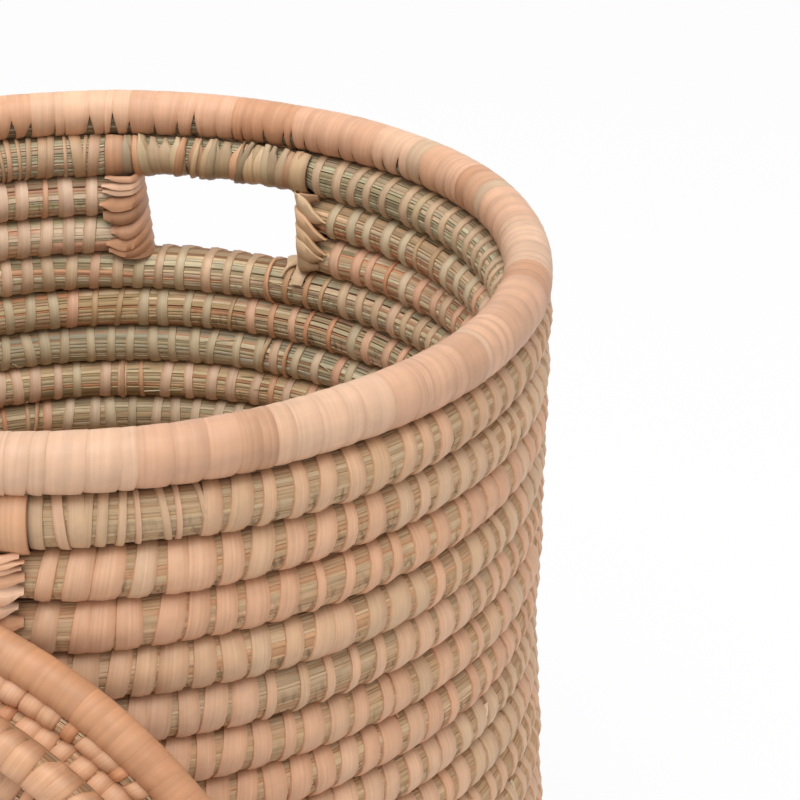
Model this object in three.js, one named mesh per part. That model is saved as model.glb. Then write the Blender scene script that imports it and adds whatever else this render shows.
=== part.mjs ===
// A round basket coiled from grass bundles and bound with leaf strips, standing open
// with its loose lid leaning on the front. Millimetres, +Z up. The origin is on the floor
// at the middle of the base. The back hand hole faces +Y, and the front one nearly -Y.
import * as THREE from 'three';

// Wall: one long bundle, laid course on course, with a slight belly below the middle.
const WALL_RADIUS = 197;
const WALL_BELLY = 7;
const BELLY_SHARE = 0.78;
const COIL_WIDTH = 25.4;
const COIL_HEIGHT = 22;
const WALL_LOOPS = 16;
const COURSE_GAP = 0.5;
const CREST_SHARE = 0.55;

// Base: a flat spiral round a small knot. Its courses are as wide as the wall's are high.
const BASE_HEIGHT = 22;
const KNOT_RADIUS = 10;
const KNOT_CREST_SHARE = 0.8;

// Hand holes: courses left out below the handle course, with bound sides. The front hole is
// a little askew from the one at the back.
const HOLE_COURSES = 2;
const HOLE_WIDTH = 92;
const HOLE_SKEW = THREE.MathUtils.degToRad(2.8);
const BINDING_WIDTH = 22;
const BINDING_THICKNESS = 2.2;
const BINDING_PROUD = 0.5;
const BINDING_CHAMFER = 2;

// Grips: leaf wrapped round the handle course over each hole.
const GRIP_OVERLAP = 15;
const GRIP_THICKNESS = 2;

// Rim: a round bundle under a close wrapping, a little narrower than the wall and set wide of it.
const RIM_OFFSET = 2;
const RIM_NARROWER = 2.4;
const RIM_WIDTH = COIL_WIDTH - RIM_NARROWER;
const RIM_HEIGHT = 24;
const RIM_WRAP = 2;
const RIM_SLOT = 5;

// Lid: a flat spiral with a wrapped edge that lies on the rim, and a ring that drops inside it.
const LID_EDGE_OFFSET = 1;
const LID_EDGE_WIDTH = 16.4;
const LID_EDGE_WRAP = 1.5;
const LID_EDGE_SLOT = 4;
const LID_COURSE = 18;
const SEAT_WIDTH = 16;
const SEAT_DEPTH = 14;
const SEAT_CLEARANCE = 3;
const LID_LEAN = THREE.MathUtils.degToRad(77);
const LID_TOP_DROP = 11;

// Clearance between pieces that touch, the length over which a bundle narrows, and a rounding margin.
const FIT = 0.3;
const SHOULDER = 6;
const TINY = 1e-6;

// A coil climbs to its next course in one part of each turn and runs level in the rest.
const WALL_STEPS = 24;
const WALL_CLIMB_STEPS = 9;
const WALL_CLIMB_START = THREE.MathUtils.degToRad(135);
const SPIRAL_STEPS = 18;
const SPIRAL_CLIMB_STEPS = 9;
const SPIRAL_CLIMB_START = THREE.MathUtils.degToRad(200);
const TIP_STEPS = 1;
const RING_STEPS = 36;
const ARC_STEP = THREE.MathUtils.degToRad(9);
const WRAP_SIDES = 8;

// Heights and radii that follow from those
const TURN = 2 * Math.PI;
const DOWN = -TURN / 4;
const BACK = TURN / 4;
const FRONT = BACK - TURN / 2 - HOLE_SKEW;
const WALL_OUTSIDE = WALL_RADIUS + COIL_WIDTH / 2;
const HOLE_BOTTOM = BASE_HEIGHT + WALL_LOOPS * COIL_HEIGHT;
const BELLY_TOP = BELLY_SHARE * HOLE_BOTTOM;
const HANDLE_BOTTOM = HOLE_BOTTOM + HOLE_COURSES * COIL_HEIGHT;
const RIM_BOTTOM = HANDLE_BOTTOM + COIL_HEIGHT;
const RIM_RADIUS = WALL_RADIUS + RIM_OFFSET;
const RIM_SLOT_HALF = slotHalfAngle(RIM_SLOT, RIM_WIDTH, RIM_HEIGHT);
const RIM_MIDDLE = RIM_BOTTOM - COURSE_GAP / 2 + FIT + RIM_HEIGHT / 2 * Math.cos(RIM_SLOT_HALF);
const HOLE_ANGLE = HOLE_WIDTH / 2 / WALL_RADIUS;
const LID_EDGE_RADIUS = RIM_RADIUS + LID_EDGE_OFFSET;
const LID_SLOT_HALF = slotHalfAngle(LID_EDGE_SLOT, LID_EDGE_WIDTH, LID_EDGE_WIDTH);

const grass = new THREE.MeshStandardMaterial({ color: 0xae9870, roughness: 0.9, metalness: 0 });
const paleGrass = new THREE.MeshStandardMaterial({ color: 0xbba57c, roughness: 0.9, metalness: 0 });
const leaf = new THREE.MeshStandardMaterial({ color: 0xdcae8a, roughness: 0.7, metalness: 0 });
const tanLeaf = new THREE.MeshStandardMaterial({ color: 0xc99a70, roughness: 0.7, metalness: 0 });

function part(name, geometry, material) {
  const mesh = new THREE.Mesh(geometry, material);
  mesh.name = name;
  return mesh;
}

// Angle on each side of the middle of a wrap's slot.
function slotHalfAngle(slot, width, height) {
  return 2 * slot / (width + height);
}

function polar(radius, angle, height) {
  return new THREE.Vector3(radius * Math.cos(angle), radius * Math.sin(angle), height);
}

// Six-sided section of a bundle, as [outward, upward] offsets from its middle.
function bundle(halfWidth, halfHeight) {
  const crest = halfWidth * CREST_SHARE;
  return [
    [halfWidth, 0], [crest, halfHeight], [-crest, halfHeight],
    [-halfWidth, 0], [-crest, -halfHeight], [crest, -halfHeight],
  ];
}

// Oval arc of offsets that leaves a slot open round the direction slotAngle.
function openArc(halfWidth, halfHeight, slotAngle, slotHalf) {
  return Array.from({ length: WRAP_SIDES + 1 }, (_, i) => {
    const angle = slotAngle + slotHalf + (TURN - 2 * slotHalf) * i / WRAP_SIDES;
    return [halfWidth * Math.cos(angle), halfHeight * Math.sin(angle)];
  });
}

function place(section, radius, angle, height) {
  return section.map(([out, up]) => polar(radius + out, angle, height + up));
}

function surface(points, index) {
  const geometry = new THREE.BufferGeometry().setFromPoints(points);
  geometry.setIndex(index);
  geometry.computeVertexNormals();
  return geometry;
}

// Triangles of the skin between each section and the next, starting at point number first.
function skin(rings, closed, first = 0) {
  const sides = rings[0].length;
  const index = [];
  for (let i = 0; i < (closed ? rings.length : rings.length - 1); i++) {
    const here = first + i * sides;
    const next = first + ((i + 1) % rings.length) * sides;
    for (let j = 0; j < sides; j++) {
      const k = (j + 1) % sides;
      index.push(here + j, next + j, here + k, next + j, next + k, here + k);
    }
  }
  return index;
}

// Closed ring through a row of sections.
function ring(rings) {
  return surface(rings.flat(), skin(rings, true));
}

// Solid through a row of sections, with a flat face at each end.
function bar(rings) {
  const sides = rings[0].length;
  const last = (rings.length - 1) * sides;
  const index = skin(rings, false);
  for (let j = 1; j < sides - 1; j++) {
    index.push(0, j, j + 1, last, last + j + 1, last + j);
  }
  return surface(rings.flat(), index);
}

// Hollow tube through two rows of sections, open at both ends.
function sleeve(outer, inner) {
  const sides = outer[0].length;
  const first = outer.length * sides;
  const last = (outer.length - 1) * sides;
  const index = [...skin(outer, false), ...skin(inner, false, first).reverse()];
  for (let j = 0; j < sides; j++) {
    const k = (j + 1) % sides;
    index.push(j, k, first + k, j, first + k, first + j);
    index.push(last + k, last + j, first + last + k, last + j, first + last + j, first + last + k);
  }
  return surface([...outer.flat(), ...inner.flat()], index);
}

// Even steps, no longer than ARC_STEP, between each angle of the list and the next.
function stepped(angles) {
  const steps = [angles[0]];
  for (let i = 1; i < angles.length; i++) {
    const count = Math.ceil((angles[i] - angles[i - 1]) / ARC_STEP - TINY);
    for (let j = 1; j <= count; j++) {
      steps.push(angles[i - 1] + (angles[i] - angles[i - 1]) * j / count);
    }
  }
  return steps;
}

// Steps of a coil that starts and ends as a thin tip. Each has its angle, and the middle and half
// thickness of its course, counted in courses from where the coil starts.
function coilSteps(courses, loopSteps, climbSteps, start) {
  const steps = [];
  for (let i = TIP_STEPS; i <= courses * loopSteps + climbSteps - TIP_STEPS; i++) {
    const gained = Math.floor(i / loopSteps) + Math.min(1, (i % loopSteps) / climbSteps);
    const low = Math.max(0, gained - 1);
    const high = Math.min(courses, gained);
    steps.push({ angle: start + i * TURN / loopSteps, middle: (low + high) / 2, half: (high - low) / 2 });
  }
  return steps;
}

// Least distance between points of a coil that lie half a turn or more apart along it.
function leastGap(rings, loopSteps) {
  let least = Infinity;
  for (let i = 0; i < rings.length; i++) {
    const far = rings.slice(i + loopSteps / 2).flat();
    for (const point of rings[i]) {
      for (const other of far) least = Math.min(least, point.distanceTo(other));
    }
  }
  return least;
}

function wound(name, rings, loopSteps, material) {
  console.log(`${name}: least gap to itself ${leastGap(rings, loopSteps).toFixed(2)} mm`);
  return part(name, bar(rings), material);
}

// Flat spiral of courses from a knot out to a round edge.
function spiral(name, outside, course, halfHeight, middleHeight, material) {
  const courses = Math.round((outside - KNOT_RADIUS) / course);
  const pitch = (outside - KNOT_RADIUS) / courses;
  const steps = coilSteps(courses, SPIRAL_STEPS, SPIRAL_CLIMB_STEPS, SPIRAL_CLIMB_START);
  const rings = steps.map(({ angle, middle, half }) => {
    const section = bundle(half * pitch - COURSE_GAP / 2, halfHeight);
    return place(section, KNOT_RADIUS + middle * pitch, angle, middleHeight);
  });
  return wound(name, rings, SPIRAL_STEPS, material);
}

// Knot that a spiral starts from: a small button, flat above and below.
function knot(name, halfHeight, middleHeight, material) {
  const radius = KNOT_RADIUS - COURSE_GAP / 2;
  const crest = radius * KNOT_CREST_SHARE;
  const profile = [[0, -halfHeight], [crest, -halfHeight], [radius, 0], [crest, halfHeight], [0, halfHeight]];
  const geometry = new THREE.LatheGeometry(profile.map(([x, y]) => new THREE.Vector2(x, y)), SPIRAL_STEPS);
  geometry.rotateX(TURN / 4);
  geometry.translate(0, 0, middleHeight);
  return part(name, geometry, material);
}

function makeWall() {
  const steps = coilSteps(WALL_LOOPS, WALL_STEPS, WALL_CLIMB_STEPS, WALL_CLIMB_START);
  const rings = steps.map(({ angle, middle, half }) => {
    const section = bundle(COIL_WIDTH / 2, half * COIL_HEIGHT - COURSE_GAP / 2);
    const height = BASE_HEIGHT + middle * COIL_HEIGHT;
    const belly = WALL_BELLY * Math.sin(TURN / 2 * Math.min(1, height / BELLY_TOP)) ** 2;
    return place(section, WALL_RADIUS + belly, angle, height);
  });
  return wound('wall_coil', rings, WALL_STEPS, grass);
}

// Sizes that the bindings share with the courses that they hold
const BINDING_OUTSIDE = COIL_WIDTH / 2 + BINDING_PROUD;
const BINDING_INSIDE = BINDING_OUTSIDE - BINDING_THICKNESS;
const BINDING_ANGLE = BINDING_WIDTH / WALL_RADIUS;
const BOUND_END = HOLE_ANGLE + (BINDING_THICKNESS + FIT) / WALL_RADIUS;

// One interrupted course, from the hole at one angle round to the hole at the other.
// It is drawn in where the bindings hold it.
function holeCourse(name, from, to, course, material) {
  const bound = HOLE_ANGLE + BINDING_ANGLE + FIT / WALL_RADIUS;
  const free = bound + SHOULDER / WALL_RADIUS;
  const angles = stepped([
    from + BOUND_END, from + bound, from + free,
    to - free, to - bound, to - BOUND_END,
  ]);
  const height = HOLE_BOTTOM + (course + 0.5) * COIL_HEIGHT;
  const halfHeight = (COIL_HEIGHT - COURSE_GAP) / 2;
  const rings = angles.map((angle) => {
    const isFree = angle > from + free - TINY && angle < to - free + TINY;
    const halfWidth = isFree ? COIL_WIDTH / 2 : BINDING_INSIDE - FIT;
    return place(bundle(halfWidth, halfHeight), WALL_RADIUS, angle, height);
  });
  return part(name, bar(rings), material);
}

// Binding on one side of a hole: leaf laid round the ends of the interrupted courses.
// side is 1 where the courses run on from the hole anticlockwise, and -1 where they run clockwise.
function binding(name, hole, side) {
  const mouth = HOLE_ANGLE;
  const bevel = HOLE_ANGLE + BINDING_CHAMFER / WALL_RADIUS;
  const floor = HOLE_ANGLE + BINDING_THICKNESS / WALL_RADIUS;
  const back = HOLE_ANGLE + BINDING_ANGLE;
  const outline = [
    [BINDING_OUTSIDE, back], [BINDING_OUTSIDE, bevel], [BINDING_OUTSIDE - BINDING_CHAMFER, mouth],
    [BINDING_CHAMFER - BINDING_OUTSIDE, mouth], [-BINDING_OUTSIDE, bevel], [-BINDING_OUTSIDE, back],
    [-BINDING_INSIDE, back], [-BINDING_INSIDE, floor],
    [BINDING_INSIDE, floor], [BINDING_INSIDE, back],
  ];
  const shape = new THREE.Shape(outline.map(([out, angle]) => {
    const point = polar(WALL_RADIUS + out, hole + side * angle, 0);
    return new THREE.Vector2(point.x, point.y);
  }));
  const depth = HOLE_COURSES * COIL_HEIGHT - COURSE_GAP;
  const geometry = new THREE.ExtrudeGeometry(shape, { depth, bevelEnabled: false });
  geometry.translate(0, 0, HOLE_BOTTOM + COURSE_GAP / 2);
  return part(name, geometry, leaf);
}

// Sizes that the grips share with the handle course under them
const GRIP_ANGLE = HOLE_ANGLE + GRIP_OVERLAP / WALL_RADIUS;
const HANDLE_MIDDLE = HANDLE_BOTTOM + COIL_HEIGHT / 2;
const HANDLE_HALF = (COIL_HEIGHT - COURSE_GAP) / 2;

// Full course over the holes, thinner where the grips are wrapped round it.
function handleCourse() {
  const under = GRIP_ANGLE + FIT / WALL_RADIUS;
  const free = under + SHOULDER / WALL_RADIUS;
  const angles = stepped([FRONT - under, FRONT + under, FRONT + free, BACK - free, BACK - under,
    BACK + under, BACK + free, FRONT + TURN - free, FRONT + TURN - under]).slice(0, -1);
  const rings = angles.map((angle) => {
    const fromGrip = Math.min(...[FRONT, BACK, FRONT + TURN].map((grip) => Math.abs(angle - grip)));
    const drawnIn = fromGrip < under + TINY ? GRIP_THICKNESS + FIT : 0;
    const section = bundle(COIL_WIDTH / 2 - drawnIn, HANDLE_HALF - drawnIn);
    return place(section, WALL_RADIUS, angle, HANDLE_MIDDLE);
  });
  return part('handle_course', ring(rings), paleGrass);
}

function gripWrap(name, hole) {
  const angles = stepped([hole - GRIP_ANGLE, hole + GRIP_ANGLE]);
  const [outer, inner] = [0, GRIP_THICKNESS].map((depth) => {
    const section = bundle(COIL_WIDTH / 2 - depth, HANDLE_HALF - depth);
    return angles.map((angle) => place(section, WALL_RADIUS, angle, HANDLE_MIDDLE));
  });
  return part(name, sleeve(outer, inner), leaf);
}

// Round bundle and the leaf wrapped over it. The wrap is open along a slot that faces slotAngle.
function wrappedRing(names, radius, height, halfWidth, halfHeight, wrap, slotHalf, slotAngle, materials) {
  const [outer, inner, core] = [0, wrap, wrap + FIT].map((depth) => (
    openArc(halfWidth - depth, halfHeight - depth, slotAngle, slotHalf)
  ));
  const around = (section) => ring(Array.from({ length: RING_STEPS }, (_, i) => (
    place(section, radius, i * TURN / RING_STEPS, height)
  )));
  return [
    part(names[0], around(core), materials[0]),
    part(names[1], around([...outer, ...inner.reverse()]), materials[1]),
  ];
}

// Lid in its own frame: the middle of its thickness at z 0, its top face up.
const LID_HALF = LID_EDGE_WIDTH / 2;

function makeLid() {
  const lid = new THREE.Group();
  const spiralOutside = LID_EDGE_RADIUS - LID_HALF - FIT;
  const courseHalf = LID_HALF - FIT;
  lid.add(knot('lid_knot', courseHalf, 0, leaf));
  lid.add(spiral('lid_coil', spiralOutside, LID_COURSE, courseHalf, 0, paleGrass));
  lid.add(...wrappedRing(['lid_edge_core', 'lid_edge_wrap'], LID_EDGE_RADIUS, 0,
    LID_HALF, LID_HALF, LID_EDGE_WRAP, LID_SLOT_HALF, TURN / 2, [grass, tanLeaf]));

  const seatRadius = RIM_RADIUS - RIM_WIDTH / 2 - SEAT_CLEARANCE - SEAT_WIDTH / 2;
  const seatHeight = -courseHalf - FIT - SEAT_DEPTH / 2;
  const seat = Array.from({ length: RING_STEPS }, (_, i) => (
    place(bundle(SEAT_WIDTH / 2, SEAT_DEPTH / 2), seatRadius, i * TURN / RING_STEPS, seatHeight)
  ));
  lid.add(part('lid_seat_ring', ring(seat), paleGrass));
  return lid;
}

// The lid stands on its edge in front of the basket, underside out, and leans on the bindings
// beside the front hole, where the wall's curve first meets the lid's edge. A lid too wide for
// the basket's height leans flatter, so that its top stays under the handle course.
function leanLid(lid) {
  const contactAngle = HOLE_ANGLE + BINDING_CHAMFER / WALL_RADIUS;
  const contactRadius = WALL_RADIUS + BINDING_OUTSIDE;
  const contactOut = contactRadius * Math.cos(contactAngle);
  const contactSide = contactRadius * Math.sin(contactAngle);
  const edgeBack = Math.sqrt(LID_EDGE_RADIUS ** 2 - contactSide ** 2);
  const section = openArc(LID_HALF, LID_HALF, TURN / 2, LID_SLOT_HALF);
  const reach = (out, up) => Math.max(...section.map((offset) => offset[0] * out + offset[1] * up));
  const highest = (HANDLE_BOTTOM - LID_TOP_DROP) / 2 - LID_HALF;
  const lean = Math.min(LID_LEAN, Math.asin(Math.min(1, highest / LID_EDGE_RADIUS)));
  const sine = Math.sin(lean);
  const cosine = Math.cos(lean);
  const out = contactOut + FIT + edgeBack * cosine + reach(cosine, sine);
  lid.rotation.x = Math.PI + lean;
  lid.position.set(0, -out, LID_EDGE_RADIUS * sine + reach(sine, cosine));
  const atHole = new THREE.Group();
  atHole.rotation.z = FRONT - DOWN;
  atHole.add(lid);
  return atHole;
}

const basket = new THREE.Group();
const baseHalf = (BASE_HEIGHT - COURSE_GAP) / 2;
basket.add(knot('base_knot', baseHalf, baseHalf, leaf));
basket.add(spiral('base_coil', WALL_OUTSIDE, COIL_HEIGHT, baseHalf, baseHalf, grass));
basket.add(makeWall());
for (const [level, course] of [['lower', 0], ['upper', HOLE_COURSES - 1]]) {
  basket.add(holeCourse(`${level}_hole_course_right`, FRONT, BACK, course, grass));
  basket.add(holeCourse(`${level}_hole_course_left`, BACK, FRONT + TURN, course, grass));
}
for (const [face, hole] of [['front', FRONT], ['back', BACK]]) {
  basket.add(binding(`${face}_hole_binding_a`, hole, 1));
  basket.add(binding(`${face}_hole_binding_b`, hole, -1));
}
basket.add(handleCourse());
basket.add(gripWrap('front_grip_wrap', FRONT));
basket.add(gripWrap('back_grip_wrap', BACK));
basket.add(...wrappedRing(['rim_core', 'rim_wrap'], RIM_RADIUS, RIM_MIDDLE, RIM_WIDTH / 2,
  RIM_HEIGHT / 2, RIM_WRAP, RIM_SLOT_HALF, DOWN, [grass, leaf]));
basket.add(leanLid(makeLid()));

export default basket;
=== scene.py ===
import bpy
import numpy as np
from mathutils import Matrix, Vector


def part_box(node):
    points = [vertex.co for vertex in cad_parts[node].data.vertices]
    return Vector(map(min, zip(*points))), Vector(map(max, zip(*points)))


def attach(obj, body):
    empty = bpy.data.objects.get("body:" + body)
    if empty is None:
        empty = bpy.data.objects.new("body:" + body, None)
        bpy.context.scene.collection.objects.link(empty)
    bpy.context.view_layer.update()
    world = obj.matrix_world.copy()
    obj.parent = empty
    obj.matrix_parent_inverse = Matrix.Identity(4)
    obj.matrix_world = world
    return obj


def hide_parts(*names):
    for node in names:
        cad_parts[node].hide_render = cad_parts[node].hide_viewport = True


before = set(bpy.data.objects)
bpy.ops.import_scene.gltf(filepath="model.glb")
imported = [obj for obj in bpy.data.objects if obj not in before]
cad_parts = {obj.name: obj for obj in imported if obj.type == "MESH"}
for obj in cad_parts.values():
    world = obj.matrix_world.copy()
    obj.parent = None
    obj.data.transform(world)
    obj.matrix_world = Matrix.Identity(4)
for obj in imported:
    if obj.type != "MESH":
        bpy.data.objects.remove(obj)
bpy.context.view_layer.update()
rng = np.random.default_rng(1907)
scene = bpy.context.scene

# Base coil. A bundle of dry grass as thick as a thumb is wound flat from the knot out to the foot of
# the wall. A strip of palm leaf runs round the bundle and ties each course to the one inside it.
MM = 0.001
TURN = 2 * np.pi
OUTER_FACE = 0
UPPER_FACE = TURN / 4
KNOT_RADIUS = 10 * MM
BASE_RADIUS = 209.7 * MM
BASE_COURSES = 9
BASE_HALF = 10.75 * MM
BASE_GRASS_HALF = 8.8 * MM
BASE_STITCHES = 7.4 * MM, 7 * MM
FIRST_STITCH = 10 * MM
SPIRAL_CLIMB = 0.5
SPIRAL_PRESSED = 0.75 * MM
SPIRAL_START = np.radians(200)
COIL_TIP = 0.04
COIL_ROWS = 180
HEIGHT_ROW = 3
SECTION_POWER = 2.1
SHARP_ANGLE = np.radians(55)

WANDER_SPACING = 70 * MM
WANDER = 0.5 * MM
SWELL = 35 * MM, 0.018

STALK_RUN = 35 * MM, 170 * MM
STALK_STEP = 8 * MM
STALK_LIFT = 0.16 * MM
HIGHEST_LIFT = 0.3 * MM
STALK_WIDTHS = 9, 15, 7, 20, 11, 8, 17, 6, 12, 9, 22, 10
STALK_ROUNDS = 3
STALK_CORNERS = np.array([0, 0.2, 0.8])
STALK_SHOULDER = 0.15 * MM
STALK_BRIGHTNESS = 0.68, 1.12
# Painted highlight on the first shoulder of each stalk and painted shade on the second.
SHOULDER_LIGHT_AND_SHADE = 1.03, 0.95
VALLEY_DEPTH = 1.2 * MM
# Painted shade in the valleys between stalks, the deeper the more open a valley is.
PAINTED_VALLEY_SHADE = np.array([0.72, 0.8, 0.86])
VALLEY_OPENED = 0.35
FACE_CLOSED = 0.7
TWIST = 150 * MM, 0.2

PATCH = 160 * MM, 0.3
PATCH_SHARE = 0.36
PATCH_TO_RIGHT = 0.5
PATCH_OPENED = 0.75
CREASED_SHARE, CREASED_FADE = 0.55, 1.1

STITCH_PITCH = 11.8 * MM
STITCH_UNEVEN = 0.08
PASS_UNEVEN = 1.5 * STITCH_UNEVEN
STITCH_WOBBLE = 0.4, 0.35 * MM
STITCH_LEAN = 0.5, 0.2
STITCH_SPREAD = 0.09
STITCH_STEPS = 8
STITCH_ACROSS = np.array([0.5, 0.4, 0.0, -0.43, -0.5])
STITCH_MAP = np.array([0, 0.12, 0.5, 0.92, 1, 1])
# Tone across a stitch: darker, warmer edges, partly the leaf's rusty edge and partly painted shade at the
# strip's sides, and a faint painted highlight down its middle.
STITCH_SHADES = np.array(
    [[0.7, 0.58, 0.5], [0.93, 0.87, 0.82], [1.03, 1.03, 1.03], [1, 0.98, 0.96], [0.74, 0.64, 0.56]]
)
# Power of the stitch's painted edge shade on the opposite face and on the face named.
STITCH_EDGES = 1.6, 0.85
STITCH_WIDTHS = 0.8, 1.2
STITCH_BRIGHTNESS = 0.9, 1.05
PINCHED, WIDENED = 0.78, 0.22
HELD, RAISED = 0.65, 0.35
HALF_ROUND = 1.5
COLOUR_RUN = 20, 90
STRAY_COLOUR = 0.25
NARROW_SHARE = 0.18
NARROW_RUN = 2, 14
NARROW_WIDTHS = 0.4, 0.7
NARROW_RUST = np.array([0.9, 0.74, 0.62])
STRAY_NARROW = 0.07


def mm(*lengths):
    """Lengths in metres of lengths in millimetres."""
    return np.array(lengths) * MM


STITCH_PROUD = mm(-0.4, 1.0, 1.45, 1.05, -0.4)


def linear(*shades):
    """Scene-linear colours of shades from 0 to 255, by the standard curve of screens."""
    share = np.array(shades, float) / 255
    return np.where(share <= 0.04045, share / 12.92, ((share + 0.055) / 1.055) ** 2.4)


STRAW = linear(
    (226, 212, 178), (216, 198, 162), (204, 184, 146), (220, 196, 158), (192, 174, 136), (226, 194, 162),
    (210, 182, 144), (234, 218, 186), (208, 194, 158), (222, 204, 168), (198, 176, 136), (214, 164, 126),
)
LEAF = linear(
    (230, 196, 166), (222, 190, 158), (230, 188, 156), (222, 198, 168), (214, 186, 152), (226, 180, 148),
    (214, 196, 164), (208, 190, 156),
)
OUTER_STRAW = linear((186, 144, 106))
OUTER_LEAF = linear((205, 156, 120))
OUTER_TAN = 0.66
OUTER_EVEN = 0.6
TINT_DRIFT = 240 * MM, 1
TINT = np.array([0.03, -0.025, -0.07])
MEETING_FROM, MEETING_OVER = 0.7, 0.3
# Painted shade, brownish, in the creases where courses meet; the stitches take a share of it.
PAINTED_MEETING_SHADE = np.array([0.42, 0.5, 0.56])
STITCH_PAINTED_SHADE = 0.7 * PAINTED_MEETING_SHADE


def smooth(x):
    """0 below 0, 1 above 1, and x squared times (3 - 2x) between."""
    x = np.clip(x, 0, 1)
    return x * x * (3 - 2 * x)


def pick(palette, count):
    """So many colours drawn from a palette."""
    return palette[rng.integers(len(palette), size=count)]


def facing(around, face):
    """1 on most of the face named and 0 on the opposite one: a half and the angle's cosine, smoothed."""
    return smooth(0.5 + np.cos(around - face))


def meeting(around, face, bare):
    """1 at the sides of a course where it meets its neighbours, by the sine of the angle from its face, and 0
    on its faces and on a bare outward side: where the creases between courses take painted shade."""
    side = smooth((np.abs(np.sin(around - face)) - MEETING_FROM) / MEETING_OVER)
    return np.where(bare & (np.cos(around - OUTER_FACE) > 0), 0, side)[..., None]


def wander(along, spacing, size, period=None):
    """Uneven line: a random height at each spacing along, joined by straight lines, closed after a period."""
    count = int((period or along[-1] - along[0]) / spacing) + 2
    knots = along[0] + np.arange(count) * spacing if period is None else np.arange(count) * period / count
    return np.interp(along, knots, rng.normal(0, size, count), period=period)


def coil(courses, climb):
    """Turning of a coil, the middle and half thickness of its course counted in courses, and the share of its
    full breadth, which is the root of that of its full thickness. It gains a course in the first part of
    each turn, and both ends are thin tips."""
    turns = np.linspace(COIL_TIP, courses + climb - COIL_TIP, courses * COIL_ROWS)
    gained = np.floor(turns) + smooth(turns % 1 / climb)
    low = np.maximum(0, gained - 1)
    high = np.minimum(courses, gained)
    return turns * TURN, (low + high) / 2, (high - low) / 2, np.sqrt(high - low)


def round_axis(angle, radius, height):
    """Points at angles round the basket's axis, at distances from it and at heights."""
    place = radius * np.cos(angle), radius * np.sin(angle), height
    return np.stack(np.broadcast_arrays(*place), -1)


def course(angle, radius, height, half_out, half_up, closed=False):
    """Table of a course laid by hand, a row each: length so far, angle, radius, height, half width and half
    height. Its line wanders a little and its bundle swells and thins. A closed one meets itself."""
    angle, radius, height, half_out, half_up = np.broadcast_arrays(angle, radius, height, half_out, half_up)
    middle = round_axis(angle, radius, height)
    steps = np.linalg.norm(np.diff(middle, axis=0), axis=1)
    length = np.concatenate([[0], np.cumsum(steps)])
    place, period = (angle * radius, TURN * radius[0]) if closed else (length, None)
    radius = radius + wander(place, WANDER_SPACING, WANDER, period)
    height = height + wander(place, WANDER_SPACING, WANDER / 2, period)
    swell = 1 + wander(place, *SWELL, period)
    return np.stack([length, angle, radius, height, half_out * swell, half_up * swell])


def on_course(table, along, around, proud):
    """Points at a length along a course and an angle around it, 0 outward and a quarter turn up. They lie
    proud of a squarish oval: (|cos| / half width)^n + (|sin| / half height)^n, to the power -1/n."""
    angle, radius, height, half_out, half_up = (np.interp(along, table[0], row) for row in table[1:])
    out, up = np.cos(around), np.sin(around)
    oval = (np.abs(out) / half_out) ** SECTION_POWER + (np.abs(up) / half_up) ** SECTION_POWER
    reach = oval ** (-1 / SECTION_POWER) + proud
    return round_axis(angle, radius + reach * out, height + reach * up)


def placed(name, data):
    """New object of the scene that shows a mesh, a lamp or a camera."""
    made = bpy.data.objects.new(name, data)
    scene.collection.objects.link(made)
    return made


def skin(name, points, tone, along, across, material, ring=False, creases=1.0):
    """Closed tubes through rows of sections as one mesh. points is (tubes, sections, corners, 3), tone their
    colours, with the depth of creases as a fourth value, and along and across are the map's coordinates of
    sections and corners."""
    tubes, sections, corners, _ = points.shape
    tone = np.broadcast_to(tone, points.shape)
    creases = np.broadcast_to(creases, points.shape[:3])
    tone = np.concatenate([tone, creases[..., None]], -1)
    ahead = (np.roll(points, -1, 1) - points)[:, :-1]
    aside = (np.roll(points, -1, 2) - points)[:, :-1]
    outward = (points - points.mean(2, keepdims=True))[:, :-1]
    if (np.cross(ahead, aside) * outward).sum() < 0:
        points, tone, across = points[:, :, ::-1], tone[:, :, ::-1], across[::-1]
    index = np.arange(tubes * sections * corners).reshape(tubes, sections, corners)
    here = index if ring else index[:, :-1]
    there = np.roll(index, -1, 1) if ring else index[:, 1:]
    quads = np.stack([here, there, np.roll(there, -1, 2), np.roll(here, -1, 2)], -1)
    along = np.broadcast_to(along, (tubes, here.shape[1] + 1))
    chart = np.empty(quads.shape + (2,))
    chart[..., [0, 3], 0] = along[:, :-1, None, None]
    chart[..., [1, 2], 0] = along[:, 1:, None, None]
    chart[..., [0, 1], 1] = across[:-1, None]
    chart[..., [2, 3], 1] = across[1:, None]
    caps = np.empty((0, corners), int) if ring else np.concatenate([index[:, 0], index[:, -1, ::-1]])
    loops = np.concatenate([quads.ravel(), caps.ravel()])
    starts = np.concatenate([np.arange(quads.size // 4) * 4, quads.size + np.arange(len(caps)) * corners])
    chart = np.concatenate([chart.reshape(-1, 2), np.zeros((caps.size, 2))])

    mesh = bpy.data.meshes.new(name)
    mesh.vertices.add(index.size)
    mesh.loops.add(len(loops))
    mesh.polygons.add(len(starts))
    mesh.vertices.foreach_set("co", points.astype(np.float32).ravel())
    mesh.loops.foreach_set("vertex_index", loops.astype(np.int32))
    mesh.polygons.foreach_set("loop_start", starts.astype(np.int32))
    mesh.update(calc_edges=True)
    mesh.uv_layers.new(name="lay").uv.foreach_set("vector", chart.astype(np.float32).ravel())
    colour = mesh.attributes.new("tone", "FLOAT_COLOR", "POINT")
    colour.data.foreach_set("color", tone.astype(np.float32).ravel())
    mesh.shade_smooth()
    mesh.set_sharp_from_angle(angle=SHARP_ANGLE)
    mesh.materials.append(material)
    return placed(name, mesh)


def fixed(piece, body, slot, *nodes):
    """A finished piece rides on a body and stands for the solids named, which are hidden. The slot is not
    used.
    """
    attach(piece, body)
    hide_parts(*nodes)


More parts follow.
